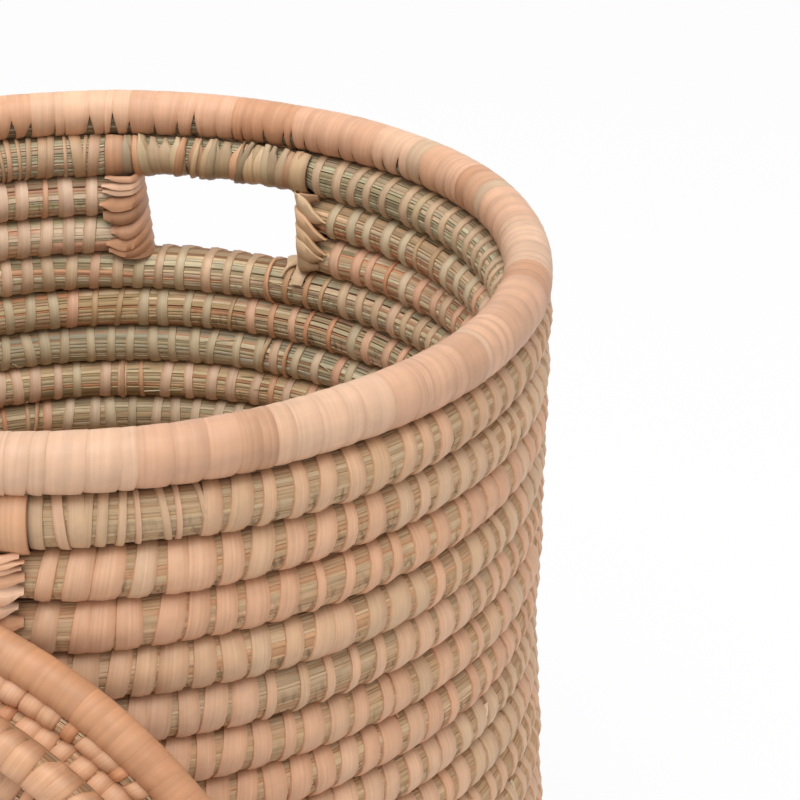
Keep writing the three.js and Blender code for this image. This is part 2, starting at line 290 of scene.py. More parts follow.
def node(tree, kind, sockets, **settings):
    """Shader node with its settings made, and each socket given a value or linked to an output."""
    made = tree.nodes.new(kind)
    for name, value in settings.items():
        setattr(made, name, value)
    for name, value in sockets.items():
        if isinstance(value, bpy.types.NodeSocket):
            tree.links.new(value, made.inputs[name])
        else:
            made.inputs[name].default_value = value
    return made


def sums(tree, operation, a, b):
    """Output of a shader node that does one sum with two values, each a number or an output."""
    return node(tree, "ShaderNodeMath", {0: a, 1: b}, operation=operation).outputs[0]


def streaks(tree, chart, scale, detail, low, high, begin=0.3, end=0.7):
    """Noise drawn out along the piece's own map, as a factor from low to high."""
    stretched = node(tree, "ShaderNodeMapping", {"Vector": chart, "Scale": scale}).outputs[0]
    noise = node(tree, "ShaderNodeTexNoise", {"Vector": stretched, "Scale": 1.0, "Detail": detail}).outputs[0]
    ramp = {"Value": noise, "From Min": begin, "From Max": end, "To Min": low, "To Max": high}
    return node(tree, "ShaderNodeMapRange", ramp).outputs[0]


CREASE_BROWN = (0.12, 0.07, 0.035, 1)


def dry_finish(name, roughness, gloss, bump, layers, creases):
    """Finish of grass or leaf: the stalk's or strip's own tone times layers of streaks, each given as (scale
    along and across, detail, low, high). Creases, as deep as the tone's fourth value, come last. The shade is
    also felt as relief."""
    finish = bpy.data.materials.new(name)
    finish.use_nodes = True
    tree = finish.node_tree
    shader = tree.nodes["Principled BSDF"]
    chart = node(tree, "ShaderNodeUVMap", {}, uv_map="lay").outputs[0]
    tone = node(tree, "ShaderNodeAttribute", {}, attribute_name="tone").outputs
    shade = streaks(tree, chart, *layers[0])
    for layer in layers[1:]:
        shade = sums(tree, "MULTIPLY", shade, streaks(tree, chart, *layer))
    scaled = {0: tone["Color"], "Scale": shade}
    colour = node(tree, "ShaderNodeVectorMath", scaled, operation="SCALE").outputs[0]
    crease = sums(tree, "MULTIPLY", streaks(tree, chart, *creases), tone["Alpha"])
    creased = node(tree, "ShaderNodeMixRGB", {0: crease, 1: colour, 2: CREASE_BROWN}).outputs[0]
    tree.links.new(creased, shader.inputs["Base Color"])
    relief = {"Height": sums(tree, "SUBTRACT", shade, crease), "Strength": 0.6, "Distance": bump}
    tree.links.new(node(tree, "ShaderNodeBump", relief).outputs[0], shader.inputs["Normal"])
    shader.inputs["Roughness"].default_value = roughness
    shader.inputs["Specular IOR Level"].default_value = gloss
    return finish


grass = dry_finish(
    "dry_grass", roughness=0.75, gloss=0.3, bump=0.3 * MM,
    layers=[((60, 4, 1), 3, 0.78, 1.13), ((14, 0.4, 1), 1, 0.92, 1.06)],
    creases=((420, 0.3, 1), 2, 0.65, 0.0, 0.38, 0.47),
)
leaf = dry_finish(
    "palm_leaf", roughness=0.5, gloss=0.4, bump=0.1 * MM,
    layers=[((20, 11, 1), 4, 0.88, 1.07), ((110, 1.2, 1), 2, 0.93, 1.05)],
    creases=((160, 1.5, 1), 1, 0.06, 0.0, 0.3, 0.5),
)


def stalk_angles(face):
    """Angles round a bundle, three to a stalk: the valley before it and its two shoulders. The stalks' widths
    add up to a turn, and their order comes three times."""
    width = np.tile(STALK_WIDTHS, STALK_ROUNDS).astype(float)
    width *= TURN / width.sum()
    start = face + TURN / 4 + np.cumsum(width) - width
    return (start[:, None] + width[:, None] * STALK_CORNERS).ravel()


def grass_bundle(table, face, shades, ring=False, bare=0):
    """Points, tones, length along, stalk count across and depth of creases of a bundle. A stalk keeps its
    colour and height for a run, with a painted highlight on one shoulder and painted shade on the other, and
    an open or closed valley, darkened as painted shade as far as it is open, parts it from the next. The
    bundle twists to and fro and its tint changes slowly. The face named and the outward side of a bare length
    at the end are an even tan, and the sides that meet other courses are darkened as painted shade. Patches,
    most of them on the right of the basket, are looser and creased on the lower half."""
    length = table[0, -1]
    period = length if ring else None
    along = np.linspace(0, length, int(length / STALK_STEP) + 1)
    around = stalk_angles(face)
    stalks = len(around) // len(STALK_CORNERS)
    number = np.arange(stalks)
    run_ends = np.cumsum(rng.uniform(*STALK_RUN, (stalks, int(length / STALK_RUN[0]) + 2)), 1)
    run = (along[:, None, None] > run_ends).sum(2)
    shade = pick(shades, run_ends.shape)
    shade = (shade * rng.uniform(*STALK_BRIGHTNESS, run_ends.shape + (1,)))[number, run]
    patch = wander(along, *PATCH, period)
    to_right = np.cos(np.interp(along, table[0], table[1]))
    patch = smooth(PATCH_SHARE + patch + PATCH_TO_RIGHT * to_right)[:, None]
    lift = np.clip(rng.normal(0, STALK_LIFT, run_ends.shape), -HIGHEST_LIFT, HIGHEST_LIFT)[number, run]
    opened = rng.random(run_ends.shape)[number, run] * (VALLEY_OPENED + PATCH_OPENED * patch)
    opened *= 1 - FACE_CLOSED * facing(around[::len(STALK_CORNERS)], face)
    valley = (lift + np.roll(lift, 1, 1)) / 2 - VALLEY_DEPTH * opened
    shoulder = lift + STALK_SHOULDER
    proud = np.stack([valley, shoulder, shoulder], -1).reshape(len(along), -1)
    # A painted highlight on the first shoulder, painted shade on the second, and painted shade in the valley
    # as far as it is open.
    shoulders = [share * shade for share in SHOULDER_LIGHT_AND_SHADE]
    tone = np.stack([shade * (1 - PAINTED_VALLEY_SHADE * opened[..., None]), *shoulders], 2)
    around = around + wander(along, *TWIST, period)[:, None]
    tint = 1 + wander(along, *TINT_DRIFT, period)[:, None] * TINT
    bare = (along > length - bare)[:, None]
    seen = np.maximum(facing(around, face), bare * facing(around, OUTER_FACE))
    outside = OUTER_TAN * seen[..., None]
    tone = tone.reshape(len(along), -1, 3) * tint[:, None] * (1 - outside) + outside * OUTER_STRAW
    # Painted shade on the sides that meet other courses.
    tone *= 1 - PAINTED_MEETING_SHADE * meeting(around, face, bare)
    creases = patch * smooth(CREASED_SHARE - CREASED_FADE * np.sin(around - face))
    points = on_course(table, along[:, None], around, proud)
    across = np.append((number[:, None] + STALK_CORNERS).ravel(), stalks)
    if ring:
        points, tone, creases = points[:-1], tone[:-1], creases[:-1]
    return points, tone, along, across, creases


def as_laid(points):
    """The points themselves, for pieces that stay where they are laid."""
    return points


def lay_grass(name, solid, table, face, shades, slot="grass_bundle", body="basket", place=as_laid, ring=False,
              creased=1, bare=0):
    """Bundle of grass as one piece, moved to its place, and creased by a share."""
    points, tone, along, across, creases = grass_bundle(table, face, shades, ring, bare)
    piece = skin(name, place(points)[None], tone, along, across, grass, ring, creased * creases)
    fixed(piece, body, slot, solid)


def stitches(table, start, end, face, widths, shades, pitch=STITCH_PITCH, thick=1, bare=0):
    """Points, tones and length of one strip wound round a course. It leans on its way up the face named and
    less on its way down the opposite face, half a turn each. The rest of the way to the next stitch is made
    unseen between the courses, where the strip is pinched and held down; where it runs in there it takes
    painted shade. It has the first width on the one face and the second on the other. Stitches stand closer
    at the front than at the back. Some are narrow, and rusty on the opposite face, while the face named has
    an even colour. Each stitch is darker at its edges, partly the leaf's rusty edge and partly painted shade,
    stronger on the opposite face, with a faint painted highlight down its middle."""
    rounds = int((end - start) / pitch)
    angle = np.interp(np.linspace(start, end, rounds), table[0], table[1])
    gaps = rng.normal(1, STITCH_UNEVEN, rounds) * (1 + STITCH_SPREAD * np.sin(angle))
    gaps *= (end - start) / gaps.sum()
    halves = 2 * rounds
    turn = np.arange(halves * STITCH_STEPS + 1) / STITCH_STEPS
    stages = np.array([0, 1, 2 - 1 / STITCH_STEPS])
    stage = (2 * np.arange(rounds)[:, None] + stages).ravel()
    moved = np.cumsum([0, *STITCH_LEAN]) + rng.normal(0, PASS_UNEVEN, (rounds, len(stages)))
    begins = np.cumsum(gaps) - gaps
    passes = start + (begins[:, None] + gaps[:, None] * moved).ravel()
    half = np.minimum(turn.astype(int), halves - 1)
    narrow = np.repeat(rng.random(halves) < NARROW_SHARE, rng.integers(*NARROW_RUN, halves))[:halves]
    narrow ^= rng.random(halves) < STRAY_NARROW
    share = np.where(narrow, rng.uniform(*NARROW_WIDTHS, halves), rng.uniform(*STITCH_WIDTHS, halves))
    width = (np.resize(widths, halves) * share)[half]
    width *= PINCHED + WIDENED * np.sqrt(np.abs(np.sin(np.pi * turn)))
    around = face - TURN / 4 + np.pi * turn
    along = np.interp(turn, np.append(stage, halves), np.append(passes, end))
    along += wander(turn, *STITCH_WOBBLE)
    held = HELD + RAISED * smooth(2 * np.abs(np.cos(around - face)))
    proud = held[:, None] * thick * STITCH_PROUD
    points = on_course(table, along[:, None] + width[:, None] * STITCH_ACROSS, around[:, None], proud)
    runs = rng.integers(*COLOUR_RUN, halves)
    shade = np.repeat(pick(shades, halves), runs, 0)[:halves]
    stray = rng.random((halves, 1)) < STRAY_COLOUR
    shade = np.where(stray, pick(shades, halves), shade)
    shade *= rng.uniform(*STITCH_BRIGHTNESS, (halves, 1))
    shade[::2] = (1 - OUTER_EVEN) * shade[::2] + OUTER_EVEN * OUTER_LEAF
    shade[1::2] *= np.where(narrow[1::2, None], NARROW_RUST, 1)
    # Painted shade where the strip runs into the creases between courses.
    in_shade = meeting(around, face, along > table[0, -1] - bare)[:, None]
    # Painted shade and highlight across the stitch, stronger on the opposite face.
    edges = STITCH_SHADES ** np.where(half % 2, *STITCH_EDGES)[:, None, None]
    tone = shade[half, None] * edges * (1 - STITCH_PAINTED_SHADE * in_shade)
    return points, tone, turn * (table[4].mean() + table[5].mean()) * HALF_ROUND


def lay_stitches(name, solid, table, start, end, face, widths, shades, body="basket", place=as_laid,
                 **options):
    """Strip of stitches as one piece, moved to its place."""
    points, tone, along = stitches(table, start, end, face, widths, shades, **options)
    fixed(skin(name, place(points)[None], tone, along, STITCH_MAP, leaf), body, "leaf_strip", solid)


def spiral(courses, radius, height, half_up):
    """Table of a flat spiral from the knot out to a radius, its courses pressed into each other a little."""
    turning, gained, thickness, breadth = coil(courses, SPIRAL_CLIMB)
    pitch = (radius - KNOT_RADIUS) / courses
    half_out = pitch * thickness + SPIRAL_PRESSED
    table = course(SPIRAL_START + turning, KNOT_RADIUS + pitch * gained, height, half_out, half_up * breadth)
    table[HEIGHT_ROW] = height
    return table


base_course = spiral(BASE_COURSES, BASE_RADIUS, BASE_HALF, BASE_GRASS_HALF)
last_turn = TURN * BASE_RADIUS
lay_grass("base_grass", "base_coil", base_course, UPPER_FACE, STRAW, bare=last_turn)
lay_stitches(
    "base_stitches", "base_coil", base_course, FIRST_STITCH, base_course[0, -1], UPPER_FACE, BASE_STITCHES,
    LEAF, bare=last_turn,
)

# Base knot. The coil starts from a small ring of grass that is wrapped with leaf through its middle
# until the hole closes.
BASE_KNOT_HALF = BASE_HALF - 0.9 * MM
KNOT_STRIPS = 9
KNOT_OPENED = 0.5 * MM
KNOT_THICKNESS = 0.7 * MM
KNOT_LEAF = LEAF[:3]
KNOT_OVERLAP = 1.3
RING_ROWS = 900
RING_SPARE = 0.5
WRAP_STEPS = 24
WRAP_ACROSS = np.array([-0.5, -0.25, 0.2, 0.46, 0.5, -0.5])
WRAP_PROUD = mm(0.05, 0.5, 0.8, 0.68, 0.1, -0.4)
# Tone across a wrapped strip: darker edges and underside, mostly painted shade where it lies over the next
# strip and tucks under the last, partly the leaf's rusty edge, and a faint painted highlight on its crown.
WRAP_SHADES = np.array(
    [[0.82, 0.77, 0.73], [1, 1, 1], [1.02, 1.02, 1.02], [0.97, 0.95, 0.93], [0.66, 0.55, 0.47],
     [0.5, 0.4, 0.34]]
)
WRAP_MAP = np.array([0, 0.25, 0.7, 0.96, 1, 0.5, 0])
WRAP_MAP_STEP = 3
TAPER_OVER = 0.85, 0.7
LIFTED_SHARE = 0.12


def ring_course(radius, height, half_out, half_up):
    """Table of a closed course, a little longer than a turn at both ends."""
    angle = np.linspace(-RING_SPARE, TURN + RING_SPARE, RING_ROWS)
    return course(angle, radius, height, half_out, half_up, closed=True)


def one_turn(table):
    """The part of a closed course's table that is exactly one turn."""
    angles = np.linspace(0, TURN, len(table[0]))
    rows = [np.interp(angles, table[1], row) for row in table]
    rows[0] = rows[0] - rows[0][0]
    return np.stack(rows)


def wraps(table, middle, width, lean, shades, narrow=(0, 0), layer=0, begin=-TURN / 4, end=0.75 * TURN,
          lift=0, taper=(0.2, 0.34), flat=0, steps=WRAP_STEPS, bulge=1, edged=1):
    """Points, tones and length of separate strips laid round a course. Each runs from one angle around to
    another, moves by its lean along the course, and narrows over a tapered share at each end. One edge of it
    lies over the next strip. It may lift off at its beginning and lie flatter between its ends. Its edges
    are darker, partly as the leaf's rusty edge and partly as painted shade, and less so where it lies
    flatter."""
    turn = np.linspace(0, 1, steps + 1)
    values = middle, width, lean, layer, begin, end, lift, *narrow
    column = [np.asarray(value, float).reshape(-1, 1) for value in values]
    middle, width, lean, layer, begin, end, lift, narrow_begin, narrow_end = column
    first = smooth((taper[0] - turn) / (TAPER_OVER[0] * taper[0]))
    last = smooth((turn - 1 + taper[1]) / (TAPER_OVER[1] * taper[1]))
    width = width * (1 - narrow_begin * first - narrow_end * last)
    around = begin + (end - begin) * turn
    along = middle + lean * (turn - 0.5)
    full = (1 - flat * (1 - np.maximum(first, last)))[:, None]
    proud = (layer + lift * smooth(1 - turn / LIFTED_SHARE))[..., None] + full * bulge * WRAP_PROUD
    points = on_course(table, along[..., None] + width[..., None] * WRAP_ACROSS, around[..., None], proud)
    # Painted shade at the edges, to a power of each strip's own, and fainter where the strip lies flatter.
    edges = 1 - full[..., None] * (1 - WRAP_SHADES ** np.reshape(edged, (-1, 1, 1, 1)))
    tone = shades[:, None, None] * edges
    length = turn * TURN * (table[4].mean() + table[5].mean()) / 2
    return points, tone, length + WRAP_MAP_STEP * np.arange(len(points))[:, None]


def lay_strips(name, solid, strips, body="basket", place=as_laid, slot="leaf_strip"):
    """Separate strips, as wraps gives them, as one piece, moved to its place."""
    points, tone, along = strips
    fixed(skin(name, place(points), tone, along, WRAP_MAP, leaf), body, slot, solid)


def knot(height, half_height):
    """Strips of a short fat ring, its middle a little more than half the knot's radius from the axis."""
    radius = KNOT_RADIUS / 2 + KNOT_OPENED
    table = ring_course(radius, height, KNOT_RADIUS / 2, half_height - KNOT_THICKNESS)
    spacing = TURN * radius / KNOT_STRIPS
    middle = RING_SPARE * radius + spacing * (np.arange(KNOT_STRIPS) + 0.5)
    return wraps(table, middle, KNOT_OVERLAP * spacing, spacing, pick(KNOT_LEAF, KNOT_STRIPS))


lay_strips("base_knot_leaf", "base_knot", knot(BASE_HALF, BASE_KNOT_HALF))

# Wall coil. One unbroken bundle climbs from the base in 16 courses, a course in the left front part of each
# turn, and bellies out at the middle. It is shown in three lengths of grass with their strips of stitches.
WALL_RADIUS = 197 * MM
WALL_BELLY = 7 * MM
BELLY_TOP = 291.7 * MM
WALL_HALF_WIDTH = 12.5 * MM
WALL_PITCH = 22 * MM
WALL_COURSES = 16
WALL_FOOT = 22 * MM
WALL_CLIMB = 0.375
WALL_START = np.radians(135)
WALL_LENGTHS = "lower", "middle", "upper"
INNER_FACE = TURN / 2
WALL_STITCHES = 10.2 * MM, 6.6 * MM
WALL_FIRST_STITCH = 30 * MM
WALL_LAST_STITCH = 20 * MM

turning, gained, thickness, breadth = coil(WALL_COURSES, WALL_CLIMB)
height = WALL_FOOT + WALL_PITCH * gained
belly = WALL_BELLY * np.sin(np.pi * np.minimum(1, height / BELLY_TOP)) ** 2
wall_course = course(
    WALL_START + turning, WALL_RADIUS + belly, height, WALL_HALF_WIDTH * breadth, WALL_PITCH * thickness
)
*wall_grass, across, creases = grass_bundle(wall_course, OUTER_FACE, STRAW)
wall_leaf = stitches(
    wall_course, WALL_FIRST_STITCH, wall_course[0, -1] - WALL_LAST_STITCH, OUTER_FACE, WALL_STITCHES, LEAF
)


def part(number, *arrays):
    """The rows of one of the wall's lengths in each array, with the first row of the next length."""
    cut = np.linspace(0, len(arrays[0]) - 1, len(WALL_LENGTHS) + 1).astype(int)
    return [rows[cut[number]:cut[number + 1] + 1] for rows in arrays]


for number, length in enumerate(WALL_LENGTHS):
    points, tone, along, depth = part(number, *wall_grass, creases)
    piece = skin(f"wall_grass_{length}", points[None], tone, along, across, grass, creases=depth)
    fixed(piece, "basket", "grass_bundle", "wall_coil")
    points, tone, along = part(number, *wall_leaf)
    piece = skin(f"wall_stitches_{length}", points[None], tone, along, STITCH_MAP, leaf)
    fixed(piece, "basket", "leaf_strip", "wall_coil")

# Loose ends. Where a new strip was joined in, its end was left lying slantwise over the grass, and here and
# there a thin second strip crosses the stitches.
LOOSE_ENDS = 150
CROSSINGS = 50
CROSSING_REACH = 1.45
INNER_SHARE = 0.67
WALL_MARGIN = 100 * MM


def on_wall(count):
    """Places for so many strips along the wall, and a face for each, the inner one twice as often."""
    face = np.where(rng.random(count) < INNER_SHARE, INNER_FACE, OUTER_FACE)
    return rng.uniform(WALL_MARGIN, wall_course[0, -1] - WALL_MARGIN, count), face


middle, face = on_wall(LOOSE_ENDS)
start = face + rng.uniform(-0.2, 1.1, LOOSE_ENDS)
strips = wraps(
    wall_course, middle,
    width=rng.uniform(2.5, 5, LOOSE_ENDS) * MM,
    lean=rng.uniform(-12, 12, LOOSE_ENDS) * MM,
    shades=pick(LEAF, LOOSE_ENDS),
    narrow=(0.85, 0), layer=0.2 * MM, begin=start, end=start + rng.uniform(0.4, 0.9, LOOSE_ENDS),
    lift=0.5 * MM, taper=(0.8, 0.3), steps=5,
)
lay_strips("loose_ends", "wall_coil", strips)
middle, _ = on_wall(CROSSINGS)
strips = wraps(
    wall_course, middle,
    width=rng.uniform(1.4, 3, CROSSINGS) * MM,
    lean=rng.uniform(-9, 9, CROSSINGS) * MM,
    shades=pick(LEAF, CROSSINGS) * NARROW_RUST,
    layer=1.4 * MM, begin=INNER_FACE - CROSSING_REACH, end=INNER_FACE + CROSSING_REACH, steps=7,
)
lay_strips("crossing_strips", "wall_coil", strips)

# Stray stalks. Broken ends of grass lift off the bundle between the stitches on the inside of the wall.
# Their ranges are of the angle around, the length in mm, the drift around and the lift in mm.
STRAY_STALKS = 260
STRAY_STEPS = 5
STRAY_HALF = 0.45 * MM
STRAY_TAPER = 0.6
STRAY_ROOT = 0.5 * MM
STRAY_RANGES = (-1.2, 1.2), (10, 26), (-0.25, 0.25), (0.4, 1.8)
STRAY_CORNERS = np.radians([0, 90, 180, 270])
STRAY_MAP = np.array([0, 0.3, 0.5, 0.8, 1])


def stray_stalks(table, middle, shades):
    """Points, tones and length of thin square stalks that run along a course's inner face and lift off it
    by the square of the share of their length."""
    share = np.linspace(0, 1, STRAY_STEPS)[None, :, None]
    around, length, drift, lift = [rng.uniform(*limits, (len(middle), 1, 1)) for limits in STRAY_RANGES]
    thick = STRAY_HALF * (1 - STRAY_TAPER * share)
    heading = np.where(rng.random(len(middle)) < 0.5, 1, -1)[:, None, None]
    along = middle[:, None, None] + heading * length * MM * share
    around = INNER_FACE + around + drift * share + thick * np.cos(STRAY_CORNERS) / WALL_HALF_WIDTH
    proud = STRAY_ROOT + lift * MM * share ** 2 + thick * np.sin(STRAY_CORNERS)
    points = on_course(table, along, around, proud)
    tone = pick(shades, len(middle))[:, None, None]
    return points, tone, (share * length * MM)[:, :, 0]


middle, _ = on_wall(STRAY_STALKS)
piece = skin("stray_stalks", *stray_stalks(wall_course, middle, STRAW), STRAY_MAP, grass, creases=0)
fixed(piece, "basket", "grass_bundle", "wall_coil")

# Hole courses. Two courses are cut short at the hand holes, so each is an arc on the right and one on
# the left. They are stitched like the wall between the bindings that hold their ends.
HOLE_HALF = 46 * MM
HOLE_HALF_ANGLE = HOLE_HALF / WALL_RADIUS
HOLE_FOOT = WALL_FOOT + WALL_COURSES * WALL_PITCH
COURSE_HALF = WALL_PITCH / 2
HOLE_ROWS = 500
CUT_BACK = 7 * MM / WALL_RADIUS
BINDING_WIDTH = 22 * MM
UNDER_BINDING = 8 * MM, 7 * MM
BOUND_HALF_WIDTH = 10.7 * MM
SHOULDER = 6 * MM
BACK = TURN / 4
FRONT = -TURN / 4 - np.radians(2.8)
RUSTY_STRAW = linear(
    (218, 168, 132), (210, 156, 120), (224, 192, 158), (204, 178, 140), (230, 206, 172), (202, 150, 116),
    (220, 200, 162), (214, 182, 144), (222, 208, 170), (196, 178, 138), (226, 198, 164),
)
# The left arcs' grass and leaf are pink-tan, and are also brightened as painted light for the brighter inner
# wall left of the hole.
PINK_LIT_STRAW = linear(
    (238, 208, 174), (232, 188, 154), (236, 218, 178), (216, 178, 140), (230, 174, 140), (220, 202, 156)
)
PINK_LIT_LEAF = linear((236, 206, 180), (230, 198, 170), (238, 204, 178), (228, 198, 168), (236, 196, 168))

for side, first, last, straw, leaves, inner_width in (
    ("right", FRONT, BACK, RUSTY_STRAW, LEAF, 6.8 * MM),
    ("left", BACK, FRONT + TURN, PINK_LIT_STRAW, PINK_LIT_LEAF, 9 * MM),
):
    for level, middle in ("lower", 0.5), ("upper", 1.5):
        name = f"{level}_hole_course_{side}"
        angle = np.linspace(first + HOLE_HALF_ANGLE + CUT_BACK, last - HOLE_HALF_ANGLE - CUT_BACK, HOLE_ROWS)
        from_end = WALL_RADIUS * (np.minimum(angle - first, last - angle) - HOLE_HALF_ANGLE)
        free = smooth((from_end - BINDING_WIDTH + SHOULDER) / (2 * SHOULDER))
        half_width = BOUND_HALF_WIDTH + (WALL_HALF_WIDTH - BOUND_HALF_WIDTH) * free
        table = course(angle, WALL_RADIUS, HOLE_FOOT + WALL_PITCH * middle, half_width, COURSE_HALF)
        lay_grass(f"{name}_grass", name, table, OUTER_FACE, straw)
        lay_stitches(
            f"{name}_stitches", name, table, BINDING_WIDTH - UNDER_BINDING[0],
            table[0, -1] - BINDING_WIDTH + UNDER_BINDING[1], OUTER_FACE, (WALL_STITCHES[0], inner_width),
            leaves,
        )

# Hole bindings. The cut ends on each side of a hole are bound with leaf laid from the outside round the
# edge to the inside. On one side the strips sweep down as full pleats, each lying over the one below it. On
# the other they are folded to points, each lying over the one above it, and a last fold lies on the sill.
BINDING_HALF = 12.4 * MM
EDGE_ROUND = 5.5 * MM
EDGE_QUARTER = TURN / 4 * np.hypot(BINDING_HALF, EDGE_ROUND) / np.sqrt(2)
BINDING_HEIGHT = 2 * WALL_PITCH
BINDING_BELOW, BINDING_ABOVE = 0.8 * MM, 3.2 * MM
BINDING_STEPS = 41
PLEAT_ACROSS = np.array([-0.5, -0.4, 0.0, 0.35, 0.5, 0.2, -0.46])
PLEAT_PROUD = mm(0.7, 1.9, 1.6, 0.7, -0.5, -0.9, -0.4)
# Tone across a pleat: a painted highlight on its ridge, and painted shade on its lower edge, on its upper
# part where it tucks under the pleat above, and on its underside.
PLEAT_SHADES = np.array(
    [[0.52, 0.4, 0.32], [0.98, 0.94, 0.9], [1.12, 1.12, 1.12], [0.88, 0.83, 0.78], [0.55, 0.45, 0.38],
     [0.4, 0.31, 0.25], [0.4, 0.31, 0.25]]
)
# Tone across a fold: a painted highlight on its raised upper edge, and painted shade on its lower part and
# underside.
FOLD_SHADES = np.array(
    [[1, 0.96, 0.92], [1.12, 1.12, 1.12], [1.02, 1.02, 1.02], [0.92, 0.88, 0.84], [0.55, 0.45, 0.38],
     [0.4, 0.32, 0.26], [0.6, 0.5, 0.43]]
)
PLEAT_MAP = np.array([0, 0.1, 0.5, 0.85, 1, 1, 1, 0])
PLEAT_MAP_STEP = 2
PLEAT_POINT, PLEAT_POWER = 0.97, 1.3
PLEAT_SUNK = 2.4 * MM
SINKS_FROM, SINKS_OVER = 0.75, 0.25
OUTER_REACH = 0.72
HOLES = ("front", FRONT), ("back", BACK)
PEACH = linear((218, 170, 138), (198, 150, 116), (224, 184, 154), (190, 142, 108), (212, 164, 130))
OLIVE = linear((214, 182, 146), (204, 170, 132), (220, 190, 154), (210, 172, 136))


def round_edge(hole, side, path, height, proud, set_back):
    """Points on the binding of one side of a hole. path is the length from the middle of the hole's edge,
    plus towards the inside: a quarter oval to each face, then straight along that face. The points lie proud
    of it, and at the edge they are set back from the hole."""
    swing = np.clip(path / EDGE_QUARTER, -1, 1) * TURN / 4
    straight = np.maximum(np.abs(path) - EDGE_QUARTER, 0)
    out = -(BINDING_HALF + proud) * np.sin(swing)
    back = EDGE_ROUND - (EDGE_ROUND + proud) * np.cos(swing) + straight + set_back * np.cos(swing)
    angle = hole + side * (HOLE_HALF_ANGLE + back / WALL_RADIUS)
    return round_axis(angle, WALL_RADIUS + out, HOLE_FOOT + height)


def binding(name, hole, side, height, width, drop, sweep, reach, taper, narrowing, layer, set_back, over,
            shades, edges):
    """Strips laid round a hole's edge. Each is at its height there, drops smoothly between the two shares of
    sweep on its way inside, narrows from a share of its length to a share of its width, and sinks in at both
    ends. Its lower (-1) or upper (1) edge lies over its neighbour. set_back is how far the binding stands
    back from the hole at its foot, middle and top."""
    share = np.linspace(-1, 1, BINDING_STEPS)[None, :, None]
    values = height, width, drop, reach, taper, narrowing, layer
    column = [np.asarray(value, float).reshape(-1, 1, 1) for value in values]
    height, width, drop, reach, taper, narrowing, layer = column
    path = share * (EDGE_QUARTER + reach * np.where(share < 0, OUTER_REACH, 1))
    past = np.clip((np.abs(share) - narrowing) / (PLEAT_POINT - narrowing), 0, 1) ** PLEAT_POWER
    wide = width * (1 - (1 - taper) * past)
    dropped = drop * smooth((share - sweep[0]) / (sweep[1] - sweep[0]))
    level = height - dropped - over * wide * PLEAT_ACROSS
    level = np.clip(level, -BINDING_BELOW, BINDING_HEIGHT + BINDING_ABOVE)
    proud = layer + PLEAT_PROUD - PLEAT_SUNK * smooth((np.abs(share) - SINKS_FROM) / SINKS_OVER)
    back = np.interp(level, [0, BINDING_HEIGHT / 2, BINDING_HEIGHT], set_back)
    points = round_edge(hole, side, path, level, proud, back)
    # edges paints the highlight and shade across each strip.
    tone = shades[:, None, None] * edges
    along = path[:, :, 0] + PLEAT_MAP_STEP * np.arange(len(height))[:, None]
    fixed(skin(f"{name}_leaf", points, tone, along, PLEAT_MAP, leaf), "basket", "leaf_strip", name)


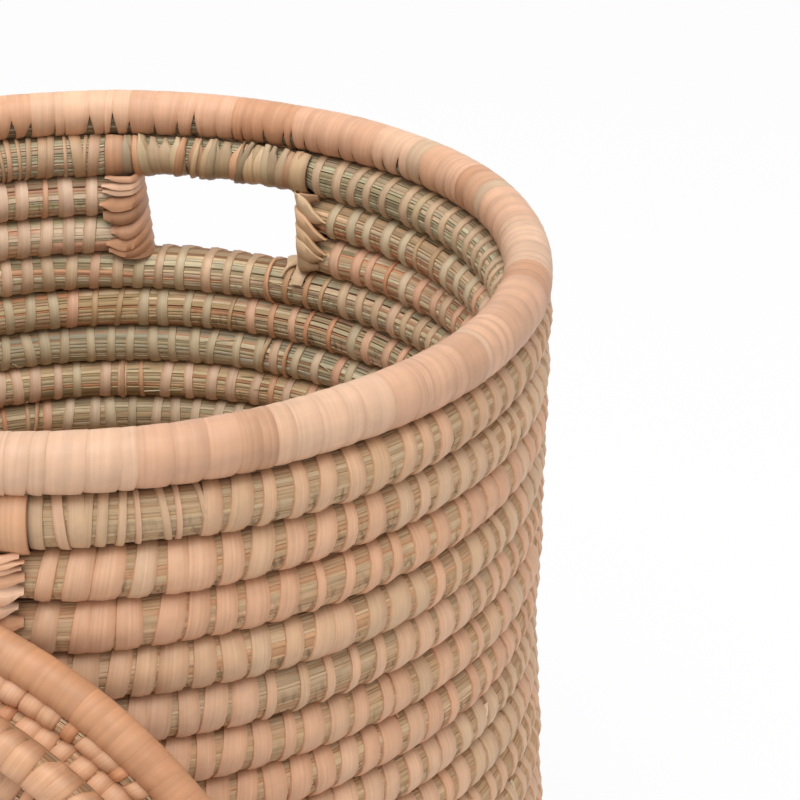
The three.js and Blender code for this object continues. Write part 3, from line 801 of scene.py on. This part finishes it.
PLEAT_HEIGHTS = mm(3, 9.5, 17, 24, 31, 37, 41, 43.6, 46.2)
PLEAT_WIDTHS = mm(10, 10.5, 11, 11, 11.5, 9, 5.4, 4.8, 4.4)
PLEAT_DROPS = mm(1.5, 6, 9, 9.5, 9, 6, 3.5, 1.6, 0.4)
PLEAT_REACH = mm(11, 15, 16.5, 15, 18, 19, 18, 19, 17)
PLEAT_LAYERS = mm(0.1, 0.5, 0.9, 1.25, 1.6, 1.9, 2.0, 2.1, 2.2)
FOLD_HEIGHTS = mm(16.5, 24.5, 33.5, 44)
FOLD_DROPS = mm(6.5, 7.5, 8.5, 8.5)
TUCKED_HEIGHTS = mm(6.5, 11, 19, 28, 37, 44.5)
TUCKED_DROPS = mm(0, 3, 4, 4, 3, -1)
FOLD_LAYER, FOLD_THINS = 1.7, 60 * MM
for where, hole in HOLES:
    pleats = len(PLEAT_HEIGHTS)
    binding(
        f"{where}_hole_binding_a", hole, 1,
        height=PLEAT_HEIGHTS, layer=PLEAT_LAYERS, set_back=mm(-3, 0.5, 4), sweep=(0, 0.7), over=-1,
        width=PLEAT_WIDTHS * rng.uniform(0.95, 1.08, pleats),
        drop=PLEAT_DROPS + rng.normal(0, 0.8 * MM, pleats),
        reach=PLEAT_REACH - rng.uniform(0, 2.5, pleats) * MM,
        taper=rng.uniform(0.1, 0.45, pleats),
        narrowing=rng.uniform(0.55, 0.75, pleats),
        shades=pick(PEACH, pleats) * rng.uniform(0.82, 1.14, (pleats, 1)),
        edges=PLEAT_SHADES,
    )
    height = np.append(FOLD_HEIGHTS, TUCKED_HEIGHTS)
    folds = len(height)
    tucked = np.arange(folds) >= len(FOLD_HEIGHTS)
    binding(
        f"{where}_hole_binding_b", hole, -1,
        height=height + rng.normal(0, 1.1 * MM, folds),
        width=np.where(tucked, 9.5, 13) * MM, set_back=mm(1, 3.6, 1), sweep=(0.25, 1), over=1,
        drop=np.append(FOLD_DROPS, TUCKED_DROPS) + rng.normal(0, 1.6 * MM, folds),
        reach=np.where(tucked, rng.uniform(9, 12, folds), rng.uniform(14, 17.5, folds)) * MM,
        taper=np.where(tucked, 0.4, 0.04), narrowing=np.where(tucked, 0.65, 0.6),
        layer=np.where(tucked, 0.1, FOLD_LAYER - height / FOLD_THINS) * MM + rng.uniform(0, 0.2, folds) * MM,
        # The tucked folds, which lie under the others, are darkened as painted shade, and the folds over them
        # are a little lighter as painted light.
        shades=pick(OLIVE, folds) * np.where(tucked, 0.86, 1.06)[:, None],
        edges=FOLD_SHADES,
    )
    sill_angle = (hole - HOLE_HALF_ANGLE - WALL_START) % TURN + WALL_START + TURN * (WALL_COURSES - 1)
    sill = np.interp(sill_angle, wall_course[1], wall_course[0])
    strips = wraps(
        wall_course, sill + mm(-4, 4),
        width=mm(15, 14), lean=mm(2, 6), shades=OLIVE[[0, 2]],
        narrow=([0.2, 0.2], [0.5, 0.9]), layer=mm(2.0, 2.6),
        begin=UPPER_FACE - 0.7, end=UPPER_FACE + np.array([1.2, 1.0]),
        taper=(0.2, 0.65), steps=12, bulge=1.5, edged=1.5,
    )
    lay_strips(f"{where}_sill_fold", f"{where}_hole_binding_b", strips)

# Handle course. A full course of paler grass closes the holes at the top and carries the grips. It is
# stitched like the wall between them, with uneven, crossed stitches beside the longer end of each grip.
HANDLE_HEIGHT = HOLE_FOOT + 2 * WALL_PITCH + COURSE_HALF
HANDLE_ROWS = 2400
HANDLE_STITCHES = 8 * MM, 6.4 * MM
GRIP_BEFORE = HOLE_HALF + 9 * MM
GRIP_AFTER = HOLE_HALF + 20 * MM
DRAWN_IN = 1.3 * MM
DRAWN_SHOULDER = 3 * MM
DRAWN_SHARE = 0.8
CROSSED = 62 * MM
CROSSED_STRIPS = 10
PALE_STRAW = linear(
    (206, 190, 152), (188, 170, 132), (214, 198, 162), (174, 154, 116), (196, 174, 136), (204, 174, 140)
)
HANDLE_LEAF = linear((200, 178, 144), (206, 178, 146), (194, 172, 136), (214, 180, 150))

angle = np.linspace(-TURN / 2, TURN + RING_SPARE, HANDLE_ROWS)
drawn = np.zeros_like(angle)
for hole in FRONT, BACK:
    past = WALL_RADIUS * ((angle - hole + TURN / 2) % TURN - TURN / 2)
    beyond = np.maximum(-GRIP_BEFORE - past, past - GRIP_AFTER)
    drawn = np.maximum(drawn, DRAWN_IN * (1 - smooth(DRAWN_SHARE + beyond / DRAWN_SHOULDER)))
handle_course = course(
    angle, WALL_RADIUS, HANDLE_HEIGHT + drawn, WALL_HALF_WIDTH - drawn, COURSE_HALF - drawn, closed=True
)
lay_grass(
    "handle_grass", "handle_course", one_turn(handle_course), OUTER_FACE, PALE_STRAW, "pale_grass_bundle",
    ring=True,
)
crossed_starts = []
for side, first, last in ("right", FRONT, BACK), ("left", BACK, FRONT + TURN):
    start = np.interp(first, handle_course[1], handle_course[0]) + GRIP_AFTER
    end = np.interp(last, handle_course[1], handle_course[0]) - GRIP_BEFORE
    crossed_starts.append(start)
    lay_stitches(
        f"handle_stitches_{side}", "handle_course", handle_course, start + CROSSED, end, OUTER_FACE,
        HANDLE_STITCHES, HANDLE_LEAF,
    )
count = 2 * CROSSED_STRIPS
share = np.tile((np.arange(CROSSED_STRIPS) + 0.5) / CROSSED_STRIPS, 2)
middle = np.repeat(crossed_starts, CROSSED_STRIPS) + CROSSED * share
strips = wraps(
    handle_course, middle + rng.normal(0, 1 * MM, count),
    width=rng.choice([2.2, 3, 4, 6.5], count) * MM,
    lean=rng.choice([-7, 1, 8], count) * MM,
    shades=(pick(HANDLE_LEAF, count) + OUTER_LEAF) / 2 * rng.uniform(0.88, 1.03, (count, 1)),
    layer=rng.uniform(0.1, 0.6, count) * MM,
)
lay_strips("handle_crossed_stitches", "handle_course", strips)

# Grips. Over each hole the handle course is wrapped closely with olive, grey and peach leaf. The strips slant
# to both sides, their pointed ends stand up against the rim, and one broad strip closes each end.
GRIP_STRIPS = 17
GRIP_OVERLAID = 13
GRIP_TIP = np.radians(118)
GRIP_ROWS = 300
GRIP_HEIGHT = HANDLE_HEIGHT + 0.6 * MM
GRIP_HALF_WIDTH = 11.4 * MM
GRIP_HALF_HEIGHT = 10.2 * MM
GRIP_INNER_START = -GRIP_BEFORE + 8 * MM
GRIP_INNER = GRIP_BEFORE + GRIP_AFTER - 18 * MM
GRIP_WIDTHS = 8.5, 10.5
OVERLAID_WIDTHS = 3.5, 7
SLANT_PLACES = 0, 0.5, 0.7, 1
SLANTS = 8, 4, -6, -11
SLANT_UNEVEN = 11, 2.5
GRIP_BRIGHTNESS = 0.66, 1.18
GRIP_LEAF = linear(
    (198, 168, 130), (190, 160, 120), (206, 176, 140), (196, 172, 136), (214, 166, 128), (202, 176, 142),
    (204, 154, 116),
)
CLOSING_PLACES = -GRIP_BEFORE + 5 * MM, GRIP_AFTER - 6 * MM
CLOSING_LEAF = linear((200, 168, 130), (200, 152, 116))

grip_angle = np.linspace(-1, 1, GRIP_ROWS)
for where, hole in HOLES:
    table = course(hole + grip_angle, WALL_RADIUS, GRIP_HEIGHT, GRIP_HALF_WIDTH, GRIP_HALF_HEIGHT)
    centre = table[0, -1] / 2
    strips = GRIP_STRIPS + GRIP_OVERLAID
    overlaid = np.arange(strips) >= GRIP_STRIPS
    place = (np.arange(GRIP_OVERLAID) + rng.uniform(0.15, 0.85, GRIP_OVERLAID)) / GRIP_OVERLAID
    share = np.append((np.arange(GRIP_STRIPS) + 0.5) / GRIP_STRIPS, place)
    inner = GRIP_INNER_START + GRIP_INNER * share
    slant = np.interp(share, SLANT_PLACES, SLANTS) + rng.normal(0, np.where(overlaid, *SLANT_UNEVEN))
    middle = centre + np.append(inner + rng.normal(0, 0.8 * MM, strips), CLOSING_PLACES)
    width = np.where(overlaid, rng.uniform(*OVERLAID_WIDTHS, strips), rng.uniform(*GRIP_WIDTHS, strips))
    shades = pick(GRIP_LEAF, len(middle)) * rng.uniform(*GRIP_BRIGHTNESS, (len(middle), 1))
    shades[-2:] = CLOSING_LEAF
    wrapped = wraps(
        table, middle,
        width=np.append(width, [10.5, 12]) * MM,
        lean=np.append(slant, [1, 1]) * MM,
        shades=shades,
        narrow=(np.append(rng.uniform(0.35, 0.8, strips), [0.1, 0.1]), 0.3),
        layer=np.append(np.where(overlaid, 1.0, 0.1) + rng.uniform(0, 0.7, strips), [2.0, 2.2]) * MM,
        lift=np.append(rng.uniform(0.3, 2.8, strips), [0, 0]) * MM,
        begin=GRIP_TIP, end=GRIP_TIP + 0.95 * TURN, taper=(0.12, 0.1), bulge=1.6, edged=2,
    )
    lay_strips(f"{where}_grip_leaf", f"{where}_grip_wrap", wrapped)

# Rim. A round bundle lies on the handle course, a little wide of the wall, and is wrapped all over with
# broad strips. Each strip overlaps the next and is drawn to a point under the rim, where the grass shows,
# darkened as painted shade.
RIM_RADIUS = 199 * MM
RIM_HEIGHT = 451.8 * MM
RIM_HALF_WIDTH = 11.5 * MM
RIM_HALF_HEIGHT = 12 * MM
RIM_STRIP_SPACING = 8.8 * MM
RIM_LEAF = linear(
    (224, 176, 143), (218, 169, 135), (227, 185, 153), (214, 164, 129), (224, 180, 147), (220, 171, 138),
    (206, 153, 117),
)
GREY_LEAF = linear((206, 174, 142))
# The core grass is darkened to half as painted shade, where it shows between the wrapping strips.
CORE_PAINTED_SHADE = 0.5
WRAP_THICKNESS = 0.9 * MM
WRAP_LEAN = 4 * MM
LEAN_UNEVEN = 1.6 * MM
WRAP_RUN = 1, 7
WRAP_BRIGHTNESS = 0.93, 1.06
# The side of the ring that takes the painted shade.
SHADED_SIDE = -TURN / 12
END_LEAST, END_MORE, END_POWER = 0.25, 0.75, 1.5


def inset(table, lowered=0, thinner=0, flatter=0):
    """Table of a course with its height, half width and half height less by the amounts given."""
    return table - np.array([0, 0, 0, lowered, thinner, flatter])[:, None]


def close_wrapping(table, around_ring, spacing, palette, narrow, grey=0, begin=-TURN / 4, uneven=0.58,
                   overlap=1.2, flat=0.5, painted_light_fall=0):
    """Strips side by side all round a ring. Their widths vary and add up to the ring's length. Runs of
    strips share a colour, a few single ones are grey, and the right front is darkened by some share as
    painted shade, the back left lightened as much as painted light."""
    count = round(around_ring / spacing)
    share = rng.uniform(1 - uneven, 1 + uneven, count)
    share *= around_ring / share.sum()
    middle = np.cumsum(share) - share / 2 + np.interp(0, table[1], table[0])
    shades = np.repeat(pick(palette, count), rng.integers(*WRAP_RUN, count), 0)[:count]
    shades *= rng.uniform(*WRAP_BRIGHTNESS, (count, 1))
    shades[rng.random(count) < grey] = GREY_LEAF
    # Painted shade on the ring's right front and painted light on its back left.
    shades *= (1 - painted_light_fall * np.cos(np.interp(middle, table[0], table[1]) - SHADED_SIDE))[:, None]
    begins = narrow[0] * rng.random(count)
    ends = narrow[1] * (END_LEAST + END_MORE * rng.random(count) ** END_POWER)
    return wraps(
        table, middle,
        width=overlap * share,
        lean=WRAP_LEAN + rng.normal(0, LEAN_UNEVEN, count),
        edged=rng.uniform(0.5, 1.9, count),
        shades=shades, narrow=(begins, ends), begin=begin, end=begin + TURN, taper=(0.25, 0.36), flat=flat,
    )


rim_course = ring_course(
    RIM_RADIUS, RIM_HEIGHT, RIM_HALF_WIDTH - WRAP_THICKNESS, RIM_HALF_HEIGHT - WRAP_THICKNESS
)
core = one_turn(inset(rim_course, lowered=1.1 * MM, thinner=1.3 * MM, flatter=1.0 * MM))
# The rim's core grass is darkened as painted shade.
lay_grass("rim_grass", "rim_core", core, OUTER_FACE, STRAW * CORE_PAINTED_SHADE, ring=True)
strips = close_wrapping(
    rim_course, TURN * RIM_RADIUS, RIM_STRIP_SPACING, RIM_LEAF, narrow=(0.4, 0.66), grey=0.03, painted_light_fall=0.16
)
lay_strips("rim_leaf", "rim_wrap", strips)

# Lid. A flat spiral like the base, but of finer and paler grass, with its knot. It is made flat in its own
# frame, underside down, and then turned to lean on the basket with its underside out.
LID_TURN = np.radians(257)
LID_COURSES = 10
LID_RADIUS = 192.8 * MM
LID_HALF = 7.9 * MM
LID_STITCHES = 8.6 * MM, 8.8 * MM
LID_STITCH_PITCH = 9 * MM
SNUG = 0.5 * MM
LID_STRAW = linear((210, 172, 134), (196, 156, 118), (214, 180, 144), (188, 150, 112), (204, 166, 128))
LID_LEAF = linear((218, 172, 138), (212, 164, 128), (222, 180, 148), (208, 160, 124))
lid_middle = np.mean(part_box("lid_edge_wrap"), axis=0)
lid_axes = np.array(Matrix.Rotation(FRONT + TURN / 4, 3, "Z") @ Matrix.Rotation(LID_TURN, 3, "X"))


def leaning(points):
    """Points of the lid's own frame turned about X, swung with the front hole and moved to where it leans."""
    return points @ lid_axes.T + lid_middle


lid_course = spiral(LID_COURSES, LID_RADIUS, 0, LID_HALF)
lay_grass(
    "lid_grass", "lid_coil", inset(lid_course, flatter=SNUG), UPPER_FACE, LID_STRAW, "pale_grass_bundle",
    "lid", leaning, creased=0.3,
)
lay_stitches(
    "lid_stitches", "lid_coil", lid_course, FIRST_STITCH, lid_course[0, -1], UPPER_FACE, LID_STITCHES,
    LID_LEAF, "lid", leaning, pitch=LID_STITCH_PITCH, thick=0.6,
)
lay_strips("lid_knot_leaf", "lid_knot", knot(0, LID_HALF), "lid", leaning)

# Lid edge. A round bundle lies round the spiral and is wrapped all over with orange-tan leaf, as the rim
# is, but with more even strips that hardly narrow.
LID_EDGE_RADIUS = 200 * MM
LID_EDGE_HALF = 8.2 * MM
LID_EDGE_SPACING = 8.6 * MM
EDGE_INSET = 1.8 * MM
TAN_LEAF = linear((196, 143, 105), (191, 137, 99), (199, 148, 111), (187, 134, 97))

wrapped_half = LID_EDGE_HALF - WRAP_THICKNESS
edge_course = ring_course(LID_EDGE_RADIUS, 0, wrapped_half, wrapped_half)
core = one_turn(inset(edge_course, thinner=EDGE_INSET, flatter=EDGE_INSET))
# The core grass is darkened as painted shade, as under the rim.
lay_grass(
    "lid_edge_grass", "lid_edge_core", core, OUTER_FACE, STRAW * CORE_PAINTED_SHADE, body="lid", place=leaning, ring=True
)
strips = close_wrapping(
    edge_course, TURN * LID_EDGE_RADIUS, LID_EDGE_SPACING, TAN_LEAF, narrow=(0.05, 0.05), begin=TURN / 2,
    uneven=0.2, overlap=1.35, flat=0.75,
)
lay_strips("lid_edge_leaf", "lid_edge_wrap", strips, "lid", leaning, "tan_leaf_strip")

# Seat ring. A thin stitched bundle is sewn under the lid. It drops inside the rim when the lid is closed
# and keeps the lid from sliding off.
SEAT_RADIUS = 176.5 * MM
SEAT_HEIGHT = -15.2 * MM
SEAT_HALF_WIDTH = 7.8 * MM
SEAT_HALF_HEIGHT = 6.8 * MM
SEAT_STITCHES = 9.2 * MM, 8.6 * MM
SEAT_FIRST_STITCH = 80 * MM

seat_course = ring_course(SEAT_RADIUS, SEAT_HEIGHT, SEAT_HALF_WIDTH, SEAT_HALF_HEIGHT)
lay_grass(
    "lid_seat_grass", "lid_seat_ring", one_turn(inset(seat_course, flatter=SNUG)), -UPPER_FACE, LID_STRAW,
    "pale_grass_bundle", "lid", leaning, ring=True, creased=0,
)
lay_stitches(
    "lid_seat_stitches", "lid_seat_ring", seat_course, SEAT_FIRST_STITCH,
    SEAT_FIRST_STITCH + TURN * SEAT_RADIUS, -UPPER_FACE, SEAT_STITCHES, LID_LEAF, "lid", leaning,
    pitch=LID_STITCH_PITCH, thick=0.4,
)

# Floor and light: a plain white floor that takes a pale shadow, a white surround, and one large soft
# lamp high on the left of the camera.
WHITE = 1, 1, 1, 1
FLOOR_HALF = 8.0
FLOOR_WHITE = 0.9, 0.9, 0.9, 1
FLOOR_SHADOW = 0.1
SURROUND = 0.68
KEY_WATTS = 55
KEY_SIZE = 2.0
KEY_PLACE = Vector((0.05, -0.9, 2.8))
AIM = Vector((0, 0, 0.4))


def seen_directly(tree):
    """1 where the camera, a mirror or a clear piece sees the surface, and 0 where it only gives light."""
    path = node(tree, "ShaderNodeLightPath", {}).outputs
    seen = sums(tree, "MAXIMUM", path["Is Camera Ray"], path["Is Glossy Ray"])
    return sums(tree, "MAXIMUM", seen, path["Is Transmission Ray"])


mesh = bpy.data.meshes.new("floor")
corner = np.array([[-1, -1, 0], [1, -1, 0], [1, 1, 0], [-1, 1, 0]]) * FLOOR_HALF
mesh.from_pydata(corner.tolist(), [], [(0, 1, 2, 3)])
floor = placed("floor", mesh)
finish = bpy.data.materials.new("white_floor")
finish.use_nodes = True
tree = finish.node_tree
shader = tree.nodes["Principled BSDF"]
shader.inputs["Base Color"].default_value = FLOOR_WHITE
shader.inputs["Roughness"].default_value = 0.9
share = sums(tree, "MULTIPLY", seen_directly(tree), 1 - FLOOR_SHADOW)
glow = node(tree, "ShaderNodeEmission", {"Color": WHITE, "Strength": 1.0}).outputs[0]
mixed = node(tree, "ShaderNodeMixShader", {0: share, 1: shader.outputs[0], 2: glow}).outputs[0]
tree.links.new(mixed, tree.nodes["Material Output"].inputs["Surface"])
mesh.materials.append(finish)

world = bpy.data.worlds.new("white_surround")
scene.world = world
world.use_nodes = True
tree = world.node_tree
strength = {"Value": seen_directly(tree), "To Min": SURROUND, "To Max": 1.0}
lit = node(tree, "ShaderNodeMapRange", strength).outputs[0]
tree.links.new(lit, tree.nodes["Background"].inputs["Strength"])
tree.nodes["Background"].inputs["Color"].default_value = WHITE

lamp = bpy.data.lights.new("key", "AREA")
lamp.energy = KEY_WATTS
lamp.size = KEY_SIZE
key = placed("key", lamp)
aimed = (KEY_PLACE - AIM).to_track_quat("Z", "Y").to_matrix().to_4x4()
key.matrix_world = Matrix.Translation(KEY_PLACE) @ aimed

# Camera: fitted to the rim's outline in the photo. It stands to the right of the front hole, above the
# rim, and looks down past the basket's axis.
CAMERA_TURN = np.radians(23.5)
CAMERA_OUT = 0.83974
CAMERA_ABOVE_RIM = 0.34088
CAMERA_YAW = np.radians(9.7782)
CAMERA_PITCH = np.radians(26.4736)
CAMERA_ROLL = np.radians(0.8429)

level = np.array([np.cos(CAMERA_YAW), -np.sin(CAMERA_YAW), 0])
ahead = np.array([
    np.sin(CAMERA_YAW) * np.cos(CAMERA_PITCH),
    np.cos(CAMERA_YAW) * np.cos(CAMERA_PITCH),
    -np.sin(CAMERA_PITCH),
])
upright = np.cross(level, ahead)
right = np.cos(CAMERA_ROLL) * level + np.sin(CAMERA_ROLL) * upright
above = np.cos(CAMERA_ROLL) * upright - np.sin(CAMERA_ROLL) * level
place = np.array([0, -CAMERA_OUT, RIM_HEIGHT + CAMERA_ABOVE_RIM])
lens = bpy.data.cameras.new("camera")
lens.lens = 89.8
lens.sensor_width = 36
camera = placed("camera", lens)
pose = np.eye(4)
pose[:3] = np.stack([right, above, -ahead, place], 1)
camera.matrix_world = Matrix.Rotation(CAMERA_TURN, 4, "Z") @ Matrix(pose.tolist())
scene.camera = camera
scene.view_settings.view_transform = "Standard"
